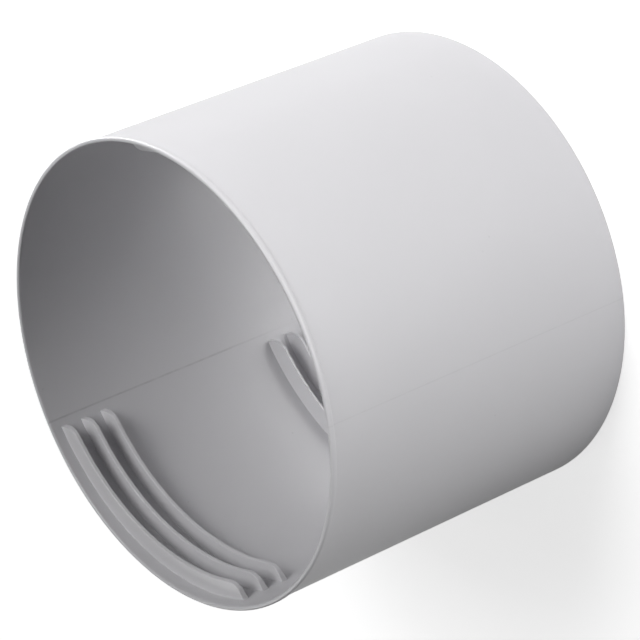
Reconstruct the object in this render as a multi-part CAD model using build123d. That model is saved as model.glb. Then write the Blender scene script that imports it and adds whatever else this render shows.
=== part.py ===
"""Coupler for a portable air conditioner's exhaust hose.

One thin-walled moulded tube, open at both ends. The spiral hose screws into either end and is
held there by an interrupted internal thread: two opposed groups of short helical ribs.

Frame: the tube's axis is Z, its bottom rim lies on Z = 0 and the centre of that rim is the
origin. Azimuth is counted from +X towards +Y, and azimuth 0 is the inner parting line.
All lengths are in millimetres and all angles in degrees.
"""

import os
from math import cos, degrees, radians, sin, tan

from build123d import *

# Tube
TUBE_DIAMETER = 154.0
TUBE_LENGTH = 123.1
WALL = 1.5
LIP_BREAK = 0.35

# Section of a thread rib, measured where it stands on the bore
RIB_HEIGHT = 6.0
RIB_ROOT = 2.1
RIB_CREST = 1.0
RIM_FLANK_DRAFT = 2.5
CREST_BREAK = 0.25
ROOT_FLARE = 0.3

# Run of the thread, a left-hand single-start helix broken into opposed groups of ribs
THREAD_PITCH = 8.05
TURNS_PER_END = 3
GROUPS_PER_TURN = 2
GROUP_START = 2.0
GROUP_SPAN = 76.0
RAMP_ANGLE = 70.0
SHOULDER_ROUND = 5.5

# Plain mouth between each rim and its thread
TOP_MOUTH = 3.95
BOTTOM_MOUTH = 6.2

# What follows from the sizes above
OUTER_RADIUS = TUBE_DIAMETER / 2
BORE_RADIUS = OUTER_RADIUS - WALL
CREST_RADIUS = BORE_RADIUS - RIB_HEIGHT
RIB_SINK = WALL / 2
RIBS_PER_END = TURNS_PER_END * GROUPS_PER_TURN
GROUP_STEP = 360 / GROUPS_PER_TURN
RIB_STEP = THREAD_PITCH / GROUPS_PER_TURN
GROUP_FALL = THREAD_PITCH * GROUP_SPAN / 360
THREAD_LENGTH = (RIBS_PER_END - 1) * RIB_STEP + GROUP_FALL + RIB_ROOT


def make_tube() -> Part:
    """Plain tube with its four rim corners broken."""
    section = Pos(BORE_RADIUS + WALL / 2, TUBE_LENGTH / 2) * Rectangle(WALL, TUBE_LENGTH)
    return revolve(Plane.XZ * chamfer(section.vertices(), LIP_BREAK), Axis.Z)


def rib_section(rim_side: int) -> Sketch:
    """Section of one rib: X points into the bore, Y up, and the root's middle is the origin.

    The flank towards the nearer rim is almost square, so that the hose cannot pull out, and
    the other flank slopes. Both flare into the wall, and the crest's corners are broken.
    rim_side is 1 where the nearer rim is above and -1 where it is below.
    """
    rim_crest = RIB_ROOT / 2 - RIB_HEIGHT * tan(radians(RIM_FLANK_DRAFT))
    outline = [
        (-RIB_SINK, RIB_ROOT / 2 + ROOT_FLARE),
        (0, RIB_ROOT / 2 + ROOT_FLARE),
        (ROOT_FLARE, RIB_ROOT / 2),
        (RIB_HEIGHT, rim_crest),
        (RIB_HEIGHT, rim_crest - RIB_CREST),
        (ROOT_FLARE, -RIB_ROOT / 2),
        (0, -RIB_ROOT / 2 - ROOT_FLARE),
        (-RIB_SINK, -RIB_ROOT / 2 - ROOT_FLARE),
    ]
    section = make_face(Polyline([(x, rim_side * y) for x, y in outline], close=True))
    crest_corners = section.vertices().filter_by(lambda corner: corner.X > RIB_HEIGHT / 2)
    return chamfer(crest_corners, CREST_BREAK)


def rib_plan() -> Sketch:
    """Plan of a rib: a crest arc between two ramps that run out to the bore, symmetric about +X."""
    rise = Vector(-sin(radians(RAMP_ANGLE)), cos(radians(RAMP_ANGLE)))
    reach = 3 * RIB_HEIGHT
    foot = Vector(BORE_RADIUS, 0)
    start = [(foot + rise * along).rotate(Axis.Z, -GROUP_SPAN / 2) for along in (-reach, reach)]
    end = [Vector(point.X, -point.Y) for point in reversed(start)]
    beyond = Vector(2 * OUTER_RADIUS, 0)
    between_ramps = make_face(Polyline(*start, *end, beyond, close=True))
    ring = Circle(BORE_RADIUS + RIB_SINK) - Circle(CREST_RADIUS)
    plan = ring & between_ramps
    shoulders = plan.vertices().filter_by(
        lambda corner: Vector(corner.X, corner.Y).length < CREST_RADIUS + RIB_HEIGHT / 2
    )
    return fillet(shoulders, SHOULDER_ROUND)


def make_rib(rim_side: int) -> Part:
    """One rib, symmetric about azimuth 0, where the middle of its root lies on Z = 0."""
    run_on = 2 * degrees(RIB_SINK / tan(radians(RAMP_ANGLE)) / BORE_RADIUS)
    swept_span = GROUP_SPAN + 2 * run_on
    fall = THREAD_PITCH * swept_span / 360
    path = Helix(pitch=THREAD_PITCH, height=fall, radius=BORE_RADIUS, lefthand=True)
    across = Plane(origin=path @ 0, x_dir=-(path @ 0), z_dir=-(path % 0))
    swept = sweep(across * rib_section(rim_side), path=path, is_frenet=True)
    swept = Pos(0, 0, -fall / 2) * Rot(0, 0, swept_span / 2) * swept
    return swept & extrude(rib_plan(), amount=GROUP_FALL + RIB_ROOT, both=True)


def make_thread(top: float, rim_side: int) -> list[Part]:
    """Ribs of one end. The first starts at GROUP_START with the edge of its root at height top."""
    rib = make_rib(rim_side)
    first_azimuth = GROUP_START + GROUP_SPAN / 2
    first_height = top - RIB_ROOT / 2 - GROUP_FALL / 2
    return [
        Pos(0, 0, first_height - turn * RIB_STEP) * Rot(0, 0, first_azimuth + turn * GROUP_STEP) * rib
        for turn in range(RIBS_PER_END)
    ]


def make_coupler() -> Part:
    """The whole moulding in one solid."""
    top_thread = make_thread(TUBE_LENGTH - TOP_MOUTH, rim_side=1)
    bottom_thread = make_thread(BOTTOM_MOUTH + THREAD_LENGTH, rim_side=-1)
    return make_tube() + top_thread + bottom_thread


if __name__ == "__main__":
    os.makedirs("parts", exist_ok=True)
    coupler = make_coupler()
    coupler.label = "coupler"
    export_step(coupler, "parts/coupler.step")
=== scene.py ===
"""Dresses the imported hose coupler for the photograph's view.

The coupler is one moulding: a thin tube with an interrupted thread inside each mouth. It stands
on its bottom rim on a pale floor, and the camera looks down into its top mouth, rolled so that
the tube lies across the picture as it does in the photograph.

Lengths are in metres and angles in degrees unless a name says otherwise. Azimuth is counted
about the tube's axis from +X towards +Y, and azimuth 0 is the inner parting line.
"""

from __future__ import annotations

import logging
from collections.abc import Iterable, Mapping
from dataclasses import dataclass, field
from enum import Enum
from math import atan2, cos, hypot, pi, radians, sin, sqrt, tan

import bmesh
import bpy
from mathutils import Matrix, Vector

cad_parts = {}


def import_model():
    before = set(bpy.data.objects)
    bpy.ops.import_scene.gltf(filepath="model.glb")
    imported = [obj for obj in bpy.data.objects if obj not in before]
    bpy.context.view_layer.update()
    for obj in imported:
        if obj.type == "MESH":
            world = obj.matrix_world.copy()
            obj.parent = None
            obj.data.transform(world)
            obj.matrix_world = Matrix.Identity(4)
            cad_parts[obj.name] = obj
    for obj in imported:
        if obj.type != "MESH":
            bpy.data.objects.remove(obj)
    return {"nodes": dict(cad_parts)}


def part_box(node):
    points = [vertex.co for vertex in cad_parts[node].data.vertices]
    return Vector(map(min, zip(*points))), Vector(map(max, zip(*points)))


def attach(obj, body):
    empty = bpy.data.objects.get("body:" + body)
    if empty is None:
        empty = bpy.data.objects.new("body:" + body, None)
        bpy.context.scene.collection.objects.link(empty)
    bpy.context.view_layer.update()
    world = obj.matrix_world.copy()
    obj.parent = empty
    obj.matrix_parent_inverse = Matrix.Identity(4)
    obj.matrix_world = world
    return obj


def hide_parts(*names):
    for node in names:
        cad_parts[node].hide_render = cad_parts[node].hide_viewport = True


LOG = logging.getLogger("coupler")
MM = 0.001
MERGE_DISTANCE = 0.001 * MM
NOISE_MIDDLE = 0.5
NODE = "coupler"
BODY = "root"


class Side(Enum):
    """Which face of the tube's wall something lies on."""

    INNER = -1
    OUTER = 1


class End(Enum):
    """Which rim a thread belongs to. The value is the direction from the thread to its rim."""

    TOP = 1
    BOTTOM = -1


class Signal:
    """A shader socket that joins in Python arithmetic: each operator adds one Math node."""

    def __init__(self, graph: ShaderGraph, socket: bpy.types.NodeSocket | None) -> None:
        """Wraps one output socket of a graph, or none for a node that ends it."""
        self.graph = graph
        self.socket = socket

    def _maths(self, operation: str, *operands: Signal | float) -> Signal:
        """Adds a Math node with the operands in order."""
        return self.graph.node(
            "ShaderNodeMath", {"operation": operation}, dict(enumerate(operands))
        )

    def __add__(self, other: Signal | float) -> Signal:
        """Sum."""
        return self._maths("ADD", self, other)

    def __radd__(self, other: float) -> Signal:
        """Sum with a plain number on the left."""
        return self._maths("ADD", other, self)

    def __sub__(self, other: Signal | float) -> Signal:
        """Difference."""
        return self._maths("SUBTRACT", self, other)

    def __rsub__(self, other: float) -> Signal:
        """Difference from a plain number."""
        return self._maths("SUBTRACT", other, self)

    def __mul__(self, other: Signal | float) -> Signal:
        """Product."""
        return self._maths("MULTIPLY", self, other)

    def __rmul__(self, other: float) -> Signal:
        """Product with a plain number on the left."""
        return self._maths("MULTIPLY", other, self)

    def __abs__(self) -> Signal:
        """Absolute value."""
        return self._maths("ABSOLUTE", self)

    def __gt__(self, other: Signal | float) -> Signal:
        """1 where this is greater than the other, else 0."""
        return self._maths("GREATER_THAN", self, other)

    def __lt__(self, other: Signal | float) -> Signal:
        """1 where this is less than the other, else 0."""
        return self._maths("LESS_THAN", self, other)

    def squared(self) -> Signal:
        """The value times itself."""
        return self._maths("MULTIPLY", self, self)

    def root(self) -> Signal:
        """Square root."""
        return self._maths("SQRT", self)

    def faded(self, start: float, end: float) -> Signal:
        """Smooth step from 1 at start to 0 at end.

        Args:
            start: Value up to which the result is 1.
            end: Value from which the result is 0.

        Returns:
            The stepped value.
        """
        return self.graph.node(
            "ShaderNodeMapRange",
            {"interpolation_type": "SMOOTHSTEP"},
            {"Value": self, "From Min": start, "From Max": end, "To Min": 1.0, "To Max": 0.0},
        )


class ShaderGraph:
    """A node tree of one material or world, built from Python expressions."""

    def __init__(self, tree: bpy.types.NodeTree) -> None:
        """Empties the tree and keeps it."""
        self.tree = tree
        self.tree.nodes.clear()

    def node(
        self,
        kind: str,
        settings: Mapping[str, object] | None = None,
        inputs: Mapping[str | int, object] | None = None,
        output: str | int = 0,
    ) -> Signal:
        """Adds a node of any type.

        Args:
            kind: The node's type name.
            settings: Properties, which are set before the sockets.
            inputs: Values or links of the sockets, by name or index.
            output: Name or index of the socket to return.

        Returns:
            The node's output as a signal.
        """
        made = self.tree.nodes.new(kind)
        for name, value in (settings or {}).items():
            setattr(made, name, value)
        for key, value in (inputs or {}).items():
            if isinstance(value, Signal):
                self.tree.links.new(value.socket, made.inputs[key])
            else:
                made.inputs[key].default_value = value
        return Signal(self, made.outputs[output] if made.outputs else None)

    def noise(self, where: Signal, size: float, detail: float = 2.0, roughness: float = 0.5) -> Signal:
        """Noise with features of about one size, from 0 to 1 around its middle.

        Args:
            where: Coordinates in metres.
            size: Length of a feature.
            detail: Octaves added.
            roughness: Weight of each added octave.

        Returns:
            The noise's value.
        """
        return self.node(
            "ShaderNodeTexNoise",
            {},
            {"Vector": where, "Scale": 1.0 / size, "Detail": detail, "Roughness": roughness},
        )


@dataclass(frozen=True)
class PartingLine:
    """Straight witness line that two mould halves leave along the tube.

    Its shade is how much darker it is, as a share, and low_share is what is left of that near
    the bottom rim.
    """

    azimuth: float
    side: Side
    half_width: float
    shade: float
    low_share: float = 1.0


@dataclass(frozen=True)
class MouldedPlastic:
    """Satin light-grey plastic as it leaves the mould.

    Flow is its broad unevenness, grain its fine skin and sink the waviness of its faces. Parting
    lines are worn in places, and below fade_height some of them fade out.
    """

    name: str
    colour: tuple[float, float, float]
    roughness: float
    wall_middle: float
    parting_lines: tuple[PartingLine, ...]
    refraction: float = 1.5
    flow_size: float = 45 * MM
    flow_shade: float = 0.025
    flow_roughness: float = 0.08
    grain_size: float = 0.35 * MM
    grain_depth: float = 0.004 * MM
    grain_roughness: float = 0.06
    sink_size: float = 22 * MM
    sink_depth: float = 0.03 * MM
    line_depth: float = 0.3 * MM
    speck_spacing: float = 12 * MM
    speck_core: float = 0.015
    speck_edge: float = 0.035
    speck_shade: float = 0.12
    wear_size: float = 5 * MM
    wear: float = 2.2
    fade_height: float = 52 * MM
    core_share: float = 0.4

    def material(self) -> bpy.types.Material:
        """Builds the material.

        Returns:
            The finished material, which reads Object coordinates.
        """
        made = bpy.data.materials.new(self.name)
        made.use_nodes = True
        graph = ShaderGraph(made.node_tree)
        place = graph.node("ShaderNodeTexCoord", output="Object")
        lines = self._lines(graph, place)
        specks = self._specks(graph, place)
        flow = graph.noise(place, self.flow_size, detail=3.0)
        shade = (flow - NOISE_MIDDLE) * (2 * self.flow_shade) + 1.0 - lines - specks
        tint = graph.node(
            "ShaderNodeVectorMath",
            {"operation": "SCALE"},
            {0: self.colour, "Scale": shade},
        )
        grain = graph.noise(place, self.grain_size, detail=1.0)
        sink = graph.noise(place, self.sink_size, detail=1.0)
        height = grain * self.grain_depth + sink * self.sink_depth - lines * self.line_depth
        bump = graph.node(
            "ShaderNodeBump", {}, {"Strength": 1.0, "Distance": 1.0, "Height": height}
        )
        broad = (flow - NOISE_MIDDLE) * self.flow_roughness
        fine = (grain - NOISE_MIDDLE) * self.grain_roughness
        surface = graph.node(
            "ShaderNodeBsdfPrincipled",
            {},
            {
                "Base Color": tint,
                "Roughness": broad + fine + self.roughness,
                "IOR": self.refraction,
                "Normal": bump,
            },
        )
        graph.node("ShaderNodeOutputMaterial", inputs={"Surface": surface})
        return made

    def _lines(self, graph: ShaderGraph, place: Signal) -> Signal:
        """Shade of the parting lines, worn in places: 0 away from them.

        Args:
            graph: The material's graph.
            place: Object coordinates.

        Returns:
            How much darker each place is, as a share.
        """
        x, y, z = (graph.node("ShaderNodeSeparateXYZ", inputs={0: place}, output=axis) for axis in "XYZ")
        radius = (x.squared() + y.squared()).root()
        worn = (graph.noise(place, self.wear_size, detail=3.0) - NOISE_MIDDLE) * self.wear + 1.0
        low = z.faded(self.fade_height * self.core_share, self.fade_height)
        total: Signal | float = 0.0
        for line in self.parting_lines:
            turn = radians(line.azimuth)
            across = abs(x * sin(turn) - y * cos(turn))
            along = (x * cos(turn) + y * sin(turn)) > 0.0
            on_face = radius > self.wall_middle if line.side is Side.OUTER else radius < self.wall_middle
            depth = (1.0 - low * (1.0 - line.low_share)) * line.shade
            core = line.half_width * self.core_share
            total = across.faded(core, line.half_width) * along * on_face * depth + total
        return total * worn

    def _specks(self, graph: ShaderGraph, place: Signal) -> Signal:
        """Shade of the few dust-sized specks in the plastic.

        Args:
            graph: The material's graph.
            place: Object coordinates.

        Returns:
            How much darker each place is, as a share.
        """
        distance = graph.node(
            "ShaderNodeTexVoronoi", {}, {"Vector": place, "Scale": 1.0 / self.speck_spacing}
        )
        return distance.faded(self.speck_core, self.speck_edge) * self.speck_shade


@dataclass(frozen=True)
class PaleFloor:
    """Plain floor that shows as white and keeps the object's shadow.

    Bounce is its grey for bounced light, glow what it adds where it is looked at, and mirrored the
    share of that which reflections show. To the camera it turns plain white beyond the shadow.
    """

    name: str
    bounce: float
    glow: float
    mirrored: float
    shadow_reach: float = 0.35
    white_from: float = 1.0

    def material(self) -> bpy.types.Material:
        """Builds the material.

        Returns:
            A matte floor for light that bounces, and a brighter one for what is looked at.
        """
        made = bpy.data.materials.new(self.name)
        made.use_nodes = True
        graph = ShaderGraph(made.node_tree)
        grey = (self.bounce, self.bounce, self.bounce, 1.0)
        matte = graph.node("ShaderNodeBsdfDiffuse", {}, {"Color": grey})
        place = graph.node("ShaderNodeTexCoord", output="Object")
        x, y = (graph.node("ShaderNodeSeparateXYZ", inputs={0: place}, output=axis) for axis in "XY")
        near = (x.squared() + y.squared()).root().faded(self.shadow_reach, self.white_from)
        camera = graph.node("ShaderNodeLightPath", output="Is Camera Ray")
        level = (1.0 - near) * camera * (1.0 - self.glow) + self.glow
        glow = graph.node("ShaderNodeEmission", {}, {"Color": level, "Strength": 1.0})
        shown = graph.node("ShaderNodeAddShader", {}, {0: matte, 1: glow})
        seen = seen_directly(graph, self.mirrored)
        surface = graph.node("ShaderNodeMixShader", inputs={0: seen, 1: matte, 2: shown})
        graph.node("ShaderNodeOutputMaterial", inputs={"Surface": surface})
        return made


def seen_directly(graph: ShaderGraph, mirrored: float) -> Signal:
    """How much of the bright background a ray shows: all of it to the camera.

    Args:
        graph: The graph to add to.
        mirrored: Share that mirror and clear rays show.

    Returns:
        The share, 0 for rays of bounced light.
    """
    camera = graph.node("ShaderNodeLightPath", output="Is Camera Ray")
    mirror = graph.node("ShaderNodeLightPath", output="Is Glossy Ray")
    clear = graph.node("ShaderNodeLightPath", output="Is Transmission Ray")
    return camera + (mirror + clear > 0.0) * mirrored


@dataclass
class Tube:
    """The tube, turned about Z from the section of its wall.

    A low bead goes round the top rim, and the outside has a slight draft from the foot up to it.
    The nib is a speck of flash on the inner edge of that rim.
    """

    outer_radius: float
    length: float
    wall: float = 1.5 * MM
    bead: float = 0.5 * MM
    bead_depth: float = 1.6 * MM
    bead_slope: float = 0.35 * MM
    inner_round: float = 0.65 * MM
    outer_round: float = 0.8 * MM
    foot_round: float = 0.4 * MM
    bead_round: float = 0.14 * MM
    support: float = 0.5 * MM
    nib_azimuth: float = -100.0
    nib_radius: float = 0.3 * MM
    corner_segments: int = 6
    turns: int = 360

    @property
    def bore_radius(self) -> float:
        """Radius of the inside."""
        return self.outer_radius - self.wall

    @property
    def wall_radius(self) -> float:
        """Radius of the outside just under the bead."""
        return self.outer_radius - self.bead

    def mesh(self) -> bpy.types.Mesh:
        """Turns the section into a closed tube.

        Returns:
            The tube's mesh, smooth and closed.
        """
        shape = bmesh.new()
        bead_end = self.bead_depth + self.bead_slope
        corners = (
            (self.bore_radius, 0.0, self.inner_round),
            (self.outer_radius, 0.0, self.foot_round),
            (self.wall_radius, self.length - bead_end, self.bead_round),
            (self.outer_radius, self.length - self.bead_depth, self.bead_round),
            (self.outer_radius, self.length, self.outer_round),
            (self.bore_radius, self.length, self.inner_round),
        )
        draw_section(shape, corners, self.corner_segments)
        bmesh.ops.delete(shape, geom=shape.faces[:], context="FACES_ONLY")
        straight = bead_end + self.support  # rings here keep the long walls shaded as straight
        for height in (straight, self.length - straight):
            bmesh.ops.bisect_plane(
                shape,
                geom=shape.verts[:] + shape.edges[:],
                plane_co=(0.0, 0.0, height),
                plane_no=(0.0, 0.0, 1.0),
            )
        bmesh.ops.spin(
            shape,
            geom=shape.verts[:] + shape.edges[:],
            cent=(0.0, 0.0, 0.0),
            axis=(0.0, 0.0, 1.0),
            angle=2 * pi,
            steps=self.turns,
            use_merge=True,
        )
        self._add_nib(shape)
        return finished_mesh(shape, "tube")

    def _add_nib(self, shape: bmesh.types.BMesh) -> None:
        """Adds the speck of flash.

        Args:
            shape: The tube so far.
        """
        along = direction(self.nib_azimuth, 0.0) * (self.bore_radius + self.nib_radius / 2)
        place = Vector((along.x, along.y, self.length - self.nib_radius))
        bmesh.ops.create_icosphere(
            shape, subdivisions=2, radius=self.nib_radius, matrix=Matrix.Translation(place)
        )


@dataclass
class RibSection:
    """Section of one thread rib: height runs into the bore, and across runs towards the rim.

    The root is sunk into the wall and flares just above the skirt, which lies under the bore's
    face. The crest tilts towards the rim.
    """

    height: float = 6.0 * MM
    root: float = 2.1 * MM
    crest: float = 1.1 * MM
    rim_draft: float = 2.5
    crest_tilt: float = 18.0
    rim_edge_round: float = 0.22 * MM
    far_edge_round: float = 0.1 * MM
    root_round: float = 0.12 * MM
    root_flare: float = 0.18 * MM
    support: float = 0.06 * MM
    sunk: float = 0.7 * MM
    skirt: float = 0.02 * MM

    @property
    def rim_slope(self) -> float:
        """How far the flank towards the rim leans for each unit of height."""
        return tan(radians(self.rim_draft))

    @property
    def middle_slope(self) -> float:
        """How far the other flank leans for each unit of height."""
        return (self.root - self.crest) / self.height - self.rim_slope

    def corners(self) -> list[tuple[Vector, float]]:
        """Corners of the section, from the sunk root's rim side round the crest.

        Returns:
            Each corner as height and place across, and how far it is rounded.
        """
        edge = self.root / 2
        flare = edge + self.root_flare
        rim_crest = edge - self.height * self.rim_slope
        rim_height = self.height - self.crest * tan(radians(self.crest_tilt))
        return [
            (Vector((-self.sunk, flare)), 0.0),
            (Vector((-self.skirt, flare)), 0.0),
            (Vector((0.0, edge)), self.root_round),
            (Vector((rim_height, rim_crest)), self.rim_edge_round),
            (Vector((self.height, rim_crest - self.crest)), self.far_edge_round),
            (Vector((0.0, -edge)), self.root_round),
            (Vector((-self.skirt, -flare)), 0.0),
            (Vector((-self.sunk, -flare)), 0.0),
        ]

    def outline(self) -> list[tuple[Vector, float]]:
        """The corners with a support point on either side of each rounding, except down the skirt.

        Returns:
            Each point as height and place across, and how far it is rounded.
        """
        corners = self.corners()
        points = []
        for (before, _), (corner, rounding), (after, _) in zip(
            corners[-1:] + corners[:-1], corners, corners[1:] + corners[:1], strict=True
        ):
            reach = rounding + self.support
            sides = [corner + (side - corner).normalized() * reach for side in (before, after)]
            kept = [side if rounding and side.x > 0.0 else None for side in sides]
            around = ((kept[0], 0.0), (corner, rounding), (kept[1], 0.0))
            points.extend((point, turn) for point, turn in around if point is not None)
        return points


@dataclass
class Thread:
    """Interrupted left-hand thread inside one mouth: opposed groups of short helical ribs.

    At each end of a rib a ramp stands at ramp_angle on the wall, and a shoulder rounds it into
    the crest.
    """

    end: End
    bore_radius: float
    top: float
    section: RibSection = field(default_factory=RibSection)
    pitch: float = 8.05 * MM
    ribs: int = 6
    groups: int = 2
    group_start: float = 2.0
    group_span: float = 76.0
    ramp_angle: float = 70.0
    shoulder_round: float = 5.5 * MM
    ramp_steps: int = 6
    shoulder_steps: int = 12
    crest_steps: int = 120
    corner_segments: int = 4

    @property
    def group_fall(self) -> float:
        """How far the helix comes down along one rib."""
        return self.pitch * self.group_span / 360

    def stations(self) -> list[tuple[float, float]]:
        """Plan of a rib: where its crest is at each step along it.

        Returns:
            Azimuth from the rib's middle in radians, and height above the bore, from start to end.
        """
        half = radians(self.group_span / 2)
        slope = radians(self.ramp_angle)
        crest_radius = self.bore_radius - self.section.height
        foot = Vector((self.bore_radius, 0.0))
        rise = Vector((-sin(slope), -cos(slope)))
        inward = Vector((cos(slope), -sin(slope)))
        # The shoulder's arc touches the ramp's line and, from outside, the crest's circle.
        base = foot + inward * self.shoulder_round
        reach = crest_radius + self.shoulder_round
        along = -base.dot(rise) - sqrt(base.dot(rise) ** 2 - base.length_squared + reach**2)
        centre = base + rise * along
        ramp_top = centre - inward * self.shoulder_round
        crest_end = centre * (crest_radius / centre.length)
        sunk_foot = foot - rise * (self.section.sunk / 2 / sin(slope))
        points = [sunk_foot.lerp(ramp_top, step / self.ramp_steps) for step in range(self.ramp_steps)]
        first = ramp_top - centre
        sweep = first.angle_signed(crest_end - centre)
        for step in range(self.shoulder_steps):
            turned = first.copy()
            turned.rotate(Matrix.Rotation(-sweep * step / self.shoulder_steps, 2))
            points.append(centre + turned)
        ends = [(half + atan2(p.y, p.x), self.bore_radius - p.length) for p in points]
        limit = half + atan2(crest_end.y, crest_end.x)
        crest = [
            (-limit + 2 * limit * step / self.crest_steps, self.section.height)
            for step in range(self.crest_steps + 1)
        ]
        return [(-turn, height) for turn, height in ends] + crest + list(reversed(ends))

    def rib(self) -> bmesh.types.BMesh:
        """One rib about azimuth 0, the middle of its root at height 0 there.

        Returns:
            A closed rib whose root is sunk into the wall.
        """
        shape = bmesh.new()
        corners = (
            (self.bore_radius - point.x, self.end.value * point.y, rounding)
            for point, rounding in self.section.outline()
        )
        draw_section(shape, corners, self.corner_segments)
        stations = self.stations()
        steps = len(stations) - 1
        bmesh.ops.spin(
            shape,
            geom=shape.faces[:],
            cent=(0.0, 0.0, 0.0),
            axis=(0.0, 0.0, 1.0),
            angle=radians(self.group_span),
            steps=steps,
        )
        # The spin left evenly turned sections, and each of them now moves to its own station.
        for vertex in shape.verts:
            turn = atan2(vertex.co.y, vertex.co.x)
            station = round(turn / radians(self.group_span) * steps)
            azimuth, crest = stations[station]
            height = self.bore_radius - hypot(vertex.co.x, vertex.co.y)
            across = vertex.co.z * self.end.value
            height, across = self._lowered(height, across, crest)
            radius = self.bore_radius - height
            fall = self.pitch * azimuth / (2 * pi)
            vertex.co = (radius * cos(azimuth), radius * sin(azimuth), self.end.value * across - fall)
        return shape

    def _lowered(self, height: float, across: float, crest: float) -> tuple[float, float]:
        """Moves a point of the full section onto the section where the crest is lower.

        Args:
            height: Height of the point above the bore.
            across: Its place across the rib, positive towards the rim.
            crest: Height of the crest here.

        Returns:
            The point's height and place across.
        """
        cut = self.section
        drop = cut.height - crest
        if height > cut.height / 2:
            middle = cut.root / 2 - cut.height * cut.rim_slope - cut.crest / 2
            height = max(height - drop, cut.root_round + cut.support)
            across += drop * (cut.rim_slope if across > middle else -cut.middle_slope)
        return min(height, crest), across

    def mesh(self) -> bpy.types.Mesh:
        """Copies the rib down the thread, one group after the other.

        Returns:
            The thread's mesh, one closed shell for each rib.
        """
        whole = bmesh.new()
        rib = self.rib()
        single = bpy.data.meshes.new("rib")
        rib.to_mesh(single)
        rib.free()
        first_height = self.top - self.section.root / 2 - self.group_fall / 2
        for turn in range(self.ribs):
            azimuth = self.group_start + self.group_span / 2 + turn * 360 / self.groups
            height = first_height - turn * self.pitch / self.groups
            before = len(whole.verts)
            whole.from_mesh(single)
            whole.verts.ensure_lookup_table()
            bmesh.ops.transform(
                whole,
                matrix=Matrix.Translation((0.0, 0.0, height)) @ Matrix.Rotation(radians(azimuth), 4, "Z"),
                verts=whole.verts[before:],
            )
        bpy.data.meshes.remove(single)
        return finished_mesh(whole, f"{self.end.name.lower()}_thread")


def draw_section(
    shape: bmesh.types.BMesh, corners: Iterable[tuple[float, float, float]], segments: int
) -> None:
    """Draws a section as one face in the XZ plane and rounds its corners.

    Args:
        shape: The shape to draw in.
        corners: Radius, height and rounding of each corner, in order.
        segments: Steps of each rounding.
    """
    drawn = [(shape.verts.new((radius, 0.0, height)), rounding) for radius, height, rounding in corners]
    shape.faces.new([corner for corner, _ in drawn])
    for corner, rounding in drawn:
        if rounding:
            bmesh.ops.bevel(
                shape,
                geom=[corner],
                affect="VERTICES",
                offset=rounding,
                segments=segments,
                profile=0.5,
                material=-1,
            )


def finished_mesh(shape: bmesh.types.BMesh, name: str) -> bpy.types.Mesh:
    """Merges doubled points, turns faces outwards and shades smooth.

    Args:
        shape: The shape, which is freed.
        name: The mesh's name.

    Returns:
        The mesh.
    """
    bmesh.ops.remove_doubles(shape, verts=shape.verts[:], dist=MERGE_DISTANCE)
    bmesh.ops.recalc_face_normals(shape, faces=shape.faces[:])
    for face in shape.faces:
        face.smooth = True
    mesh = bpy.data.meshes.new(name)
    shape.to_mesh(mesh)
    shape.free()
    return mesh


@dataclass
class Coupler:
    """The whole moulding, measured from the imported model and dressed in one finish."""

    tube: Tube
    top_thread: Thread
    bottom_thread: Thread
    finish: MouldedPlastic

    @classmethod
    def from_frame(cls, top_mouth: float = 3.95 * MM, bottom_mouth: float = 6.2 * MM) -> Coupler:
        """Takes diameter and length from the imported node.

        Args:
            top_mouth: Plain depth between the top rim and its thread.
            bottom_mouth: Plain height between the bottom rim and its thread.

        Returns:
            The coupler, not yet built.
        """
        low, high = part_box(NODE)
        tube = Tube(outer_radius=(high.x - low.x) / 2, length=high.z - low.z)
        top = Thread(End.TOP, tube.bore_radius, tube.length - top_mouth)
        bottom = Thread(End.BOTTOM, tube.bore_radius, 0.0)
        depth = (bottom.ribs - 1) * bottom.pitch / bottom.groups + bottom.group_fall + bottom.section.root
        bottom.top = bottom_mouth + depth
        finish = MouldedPlastic(
            name="light_grey_moulding",
            colour=(0.580, 0.575, 0.593),
            roughness=0.32,
            wall_middle=tube.outer_radius - tube.wall / 2,
            parting_lines=(
                PartingLine(0.0, Side.INNER, half_width=0.42 * MM, shade=0.14, low_share=0.15),
                PartingLine(180.0, Side.INNER, half_width=0.42 * MM, shade=0.14, low_share=0.15),
                PartingLine(156.5, Side.OUTER, half_width=0.3 * MM, shade=0.05),
                PartingLine(336.5, Side.OUTER, half_width=0.3 * MM, shade=0.05),
            ),
        )
        return cls(tube, top, bottom, finish)

    def build(self) -> list[bpy.types.Object]:
        """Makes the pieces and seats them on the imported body.

        Returns:
            The pieces.
        """
        material = self.finish.material()
        pieces = []
        for maker in (self.tube, self.top_thread, self.bottom_thread):
            mesh = maker.mesh()
            mesh.materials.append(material)
            piece = bpy.data.objects.new(mesh.name, mesh)
            bpy.context.scene.collection.objects.link(piece)
            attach(piece, BODY)
            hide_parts(NODE)
            LOG.info("%s: %d faces", piece.name, len(mesh.polygons))
            pieces.append(piece)
        return pieces


@dataclass(frozen=True)
class Lamp:
    """A lamp around the coupler, pointed at its middle."""

    name: str
    azimuth: float
    elevation: float
    distance: float
    power: float

    def build(self, target: Vector) -> bpy.types.Object:
        """Makes the lamp and points it at the target.

        Args:
            target: The point it looks at.

        Returns:
            The lamp's object, which the camera doesn't see.
        """
        data = self.data()
        data.energy = self.power
        lamp = bpy.data.objects.new(self.name, data)
        away = direction(self.azimuth, self.elevation)
        lamp.location = self.aimed(target) + away * self.distance
        lamp.rotation_euler = away.to_track_quat("Z", "Y").to_euler()
        lamp.visible_camera = False
        bpy.context.scene.collection.objects.link(lamp)
        return lamp

    def aimed(self, target: Vector) -> Vector:
        """The point that the lamp looks at."""
        return target

    def data(self) -> bpy.types.Light:
        """The lamp's own data, without its power."""
        raise NotImplementedError


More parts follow.
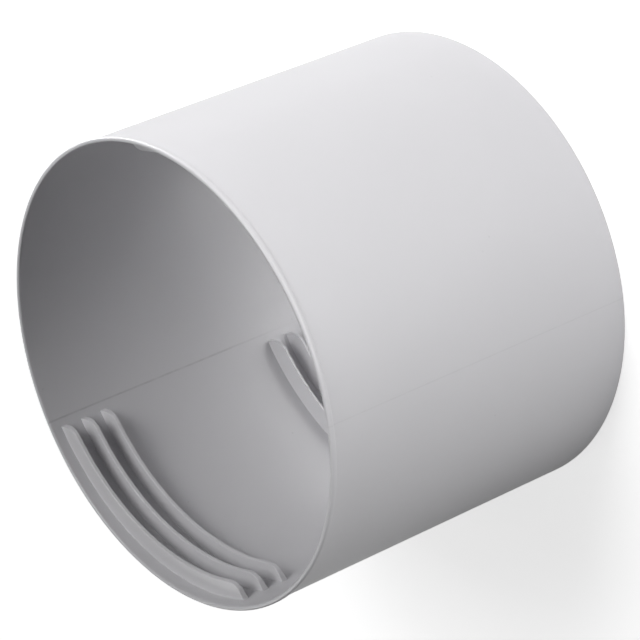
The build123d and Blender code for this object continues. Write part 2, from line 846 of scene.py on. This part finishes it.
@dataclass(frozen=True)
class Panel(Lamp):
    """Soft rectangular panel."""

    width: float = 0.5
    height: float = 0.5

    def data(self) -> bpy.types.AreaLight:
        """A rectangular area lamp."""
        data = bpy.data.lights.new(self.name, "AREA")
        data.shape = "RECTANGLE"
        data.size = self.width
        data.size_y = self.height
        return data


@dataclass(frozen=True)
class Spot(Lamp):
    """Narrow round beam, which may look at a point aside of the target along +X."""

    beam: float
    aside: float = 0.0
    softness: float = 2 * MM
    edge_blend: float = 0.1

    def aimed(self, target: Vector) -> Vector:
        """The point that the beam looks at."""
        return target + Vector((self.aside, 0.0, 0.0))

    def data(self) -> bpy.types.SpotLight:
        """A spot lamp."""
        data = bpy.data.lights.new(self.name, "SPOT")
        data.spot_size = radians(self.beam)
        data.spot_blend = self.edge_blend
        data.shadow_soft_size = self.softness
        return data


def direction(azimuth: float, elevation: float) -> Vector:
    """Unit vector towards an azimuth and an elevation.

    Args:
        azimuth: Angle about Z from +X.
        elevation: Angle above the floor.

    Returns:
        The vector.
    """
    flat = cos(radians(elevation))
    return Vector((flat * cos(radians(azimuth)), flat * sin(radians(azimuth)), sin(radians(elevation))))


@dataclass
class Studio:
    """Lamps and floor around the coupler, before a white background."""

    lamps: tuple[Lamp, ...]
    floor: PaleFloor
    floor_size: float = 12.0

    def build(self, target: Vector) -> None:
        """Makes the studio.

        Args:
            target: The point that the lamps look at.
        """
        for lamp in self.lamps:
            lamp.build(target)
        self._build_floor()
        self._build_sky()

    def _build_floor(self) -> None:
        """Lays the floor at height 0."""
        shape = bmesh.new()
        bmesh.ops.create_grid(shape, x_segments=1, y_segments=1, size=self.floor_size / 2)
        mesh = bpy.data.meshes.new("floor")
        shape.to_mesh(mesh)
        shape.free()
        mesh.materials.append(self.floor.material())
        floor = bpy.data.objects.new("floor", mesh)
        bpy.context.scene.collection.objects.link(floor)

    def _build_sky(self) -> None:
        """Makes the background, which looks white and lights nothing that is matte."""
        world = bpy.data.worlds.new("studio_sky")
        world.use_nodes = True
        graph = ShaderGraph(world.node_tree)
        strength = seen_directly(graph, self.floor.mirrored * self.floor.glow)
        white = graph.node(
            "ShaderNodeBackground", inputs={"Color": (1.0, 1.0, 1.0, 1.0), "Strength": strength}
        )
        graph.node("ShaderNodeOutputWorld", inputs={"Surface": white})
        bpy.context.scene.world = world


@dataclass(frozen=True)
class PhotoCamera:
    """Camera of the photograph: long lens, looking down into the top mouth, rolled on its side."""

    target: Vector
    azimuth: float
    elevation: float
    roll: float
    distance: float
    lens: float
    sensor: float = 36.0

    def build(self) -> bpy.types.Object:
        """Makes the camera and uses it for the scene.

        Returns:
            The camera's object.
        """
        data = bpy.data.cameras.new("photo_camera")
        data.sensor_fit = "HORIZONTAL"
        data.sensor_width = self.sensor
        data.lens = self.lens
        camera = bpy.data.objects.new("photo_camera", data)
        away = direction(self.azimuth, self.elevation)
        upright = away.to_track_quat("Z", "Y").to_matrix().to_4x4()
        rolled = Matrix.Rotation(radians(-self.roll), 4, away) @ upright
        camera.matrix_world = Matrix.Translation(self.target + away * self.distance) @ rolled
        bpy.context.scene.collection.objects.link(camera)
        bpy.context.scene.camera = camera
        return camera


LAMP_TARGET = Vector((0.0, 0.0, 62 * MM))
LAMPS = (
    Panel("key_upper", azimuth=240.0, elevation=65.0, distance=1.2, power=5.2),
    Panel("key_lower", azimuth=240.0, elevation=50.0, distance=1.2, power=4.4),
    Panel("front_strip", azimuth=180.0, elevation=0.0, distance=1.0, power=6.5, width=0.8, height=0.11),
    Panel("upper_strip", azimuth=255.0, elevation=0.0, distance=1.0, power=1.4, width=0.8, height=0.11),
    Panel("side_strip", azimuth=300.0, elevation=0.0, distance=1.0, power=8.6, width=0.8, height=0.11),
    Panel("lip_panel", azimuth=20.0, elevation=36.0, distance=1.2, power=2.4),
    Spot("mouth_beam", azimuth=0.0, elevation=90.0, distance=3.0, power=205.0, beam=2.5),
    Spot("deep_beam", azimuth=0.0, elevation=90.0, distance=3.0, power=800.0, beam=1.0, aside=41 * MM),
)


def main() -> None:
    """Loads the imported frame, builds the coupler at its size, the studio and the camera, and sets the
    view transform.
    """
    logging.basicConfig(level=logging.INFO, format="%(message)s")
    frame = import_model()
    LOG.info("nodes: %s", sorted(frame["nodes"]))
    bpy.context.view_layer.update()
    Coupler.from_frame().build()
    floor = PaleFloor("pale_floor", bounce=0.65, glow=0.66, mirrored=0.3)
    Studio(LAMPS, floor).build(LAMP_TARGET)
    PhotoCamera(
        target=Vector((0.0, 1.756 * MM, 60.82 * MM)),
        azimuth=180.833,
        elevation=35.78,
        roll=112.539,
        distance=1.0774,
        lens=190.0,
    ).build()
    view = bpy.context.scene.view_settings
    view.view_transform = "Standard"


if __name__ == "__main__":
    main()
